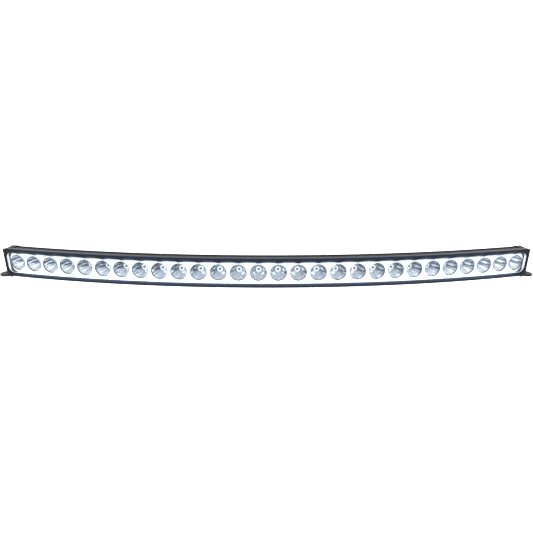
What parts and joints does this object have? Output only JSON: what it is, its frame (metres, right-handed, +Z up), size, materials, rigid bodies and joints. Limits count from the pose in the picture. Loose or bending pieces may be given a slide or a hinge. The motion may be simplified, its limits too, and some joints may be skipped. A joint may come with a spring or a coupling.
{
  "type": "led light bar",
  "caption": "Curved single-row LED light bar with a lit halo panel round chrome reflectors, a finned housing, end caps and tilting end brackets.",
  "frame": {"origin": "on the plane the two feet are bolted to, below the middle of the outline", "axes": "+X along the bar to its right end seen from in front of it, +Y to its finned back, +Z up; the lens faces -Y"},
  "size_m": [1.389, 0.164, 0.0818],
  "materials": {
    "housing_coat": "satin black powder coat on extruded aluminium",
    "bezel_coat": "satin black powder coat on die-cast aluminium",
    "lens_clear": "clear hard-coated polycarbonate",
    "halo_white": "lit milk-white acrylic light guide",
    "reflector_chrome": "vacuum-metallised mirror finish on moulded plastic",
    "rubber_seal": "matte silicone seal",
    "led_board": "white solder mask on an aluminium-core board",
    "halo_strip": "white solder mask",
    "driver_green": "green solder mask",
    "carrier_plastic": "black moulded nylon",
    "gland_plastic": "black moulded nylon",
    "stainless": "stainless steel",
    "bracket_coat": "satin black powder coat on pressed steel"
  },
  "bodies": {
    "left_bracket": {"bracket_left": "bracket_coat"},
    "bar": {"housing": "housing_coat", "end_cap_left": "housing_coat", "end_cap_right": "housing_coat", "bezel_frame": "bezel_coat", "lens": "lens_clear", "halo_guide": "halo_white", "reflector_01": "reflector_chrome", "reflector_02": "reflector_chrome", "reflector_03": "reflector_chrome", "reflector_04": "reflector_chrome", "reflector_05": "reflector_chrome", "reflector_06": "reflector_chrome", "reflector_07": "reflector_chrome", "reflector_08": "reflector_chrome", "reflector_09": "reflector_chrome", "reflector_10": "reflector_chrome", "reflector_11": "reflector_chrome", "reflector_12": "reflector_chrome", "reflector_13": "reflector_chrome", "reflector_14": "reflector_chrome", "reflector_15": "reflector_chrome", "reflector_16": "reflector_chrome", "reflector_17": "reflector_chrome", "reflector_18": "reflector_chrome", "reflector_19": "reflector_chrome", "reflector_20": "reflector_chrome", "reflector_21": "reflector_chrome", "reflector_22": "reflector_chrome", "reflector_23": "reflector_chrome", "reflector_24": "reflector_chrome", "reflector_25": "reflector_chrome", "reflector_26": "reflector_chrome", "reflector_27": "reflector_chrome", "reflector_28": "reflector_chrome", "lens_gasket": "rubber_seal", "cap_gasket_left": "rubber_seal", "cap_gasket_right": "rubber_seal", "led_board_1": "led_board", "led_board_2": "led_board", "led_board_3": "led_board", "led_board_4": "led_board", "halo_strip_upper": "halo_strip", "halo_strip_lower": "halo_strip", "driver_board": "driver_green", "guide_carrier": "carrier_plastic", "cable_gland": "gland_plastic", "gland_nut": "gland_plastic", "breather_vent": "gland_plastic", "pivot_bolt_left": "stainless", "pivot_bolt_right": "stainless", "lock_bolt_left": "stainless", "lock_bolt_right": "stainless", "pivot_washer_left": "stainless", "pivot_washer_right": "stainless", "cap_screw_left_upper": "stainless", "cap_screw_left_lower": "stainless", "cap_screw_right_upper": "stainless", "cap_screw_right_lower": "stainless"},
    "right_bracket": {"bracket_right": "bracket_coat"}
  },
  "joints": [
    {"name": "bar_tilt", "type": "hinge", "parent": "left_bracket", "child": "bar", "pos_m": [-0.6532, 0.04446, 0.049], "axis": [1, 0, 0], "range_deg": [-20, 20]},
    {"name": "right_bracket_tilt", "type": "hinge", "parent": "bar", "child": "right_bracket", "pos_m": [0.6532, 0.04446, 0.049], "axis": [1, 0, 0], "range_deg": [-20, 20]}
  ],
  "couplings": [
    {"joint": "right_bracket_tilt", "follows": "bar_tilt", "ratio": -1}
  ]
}
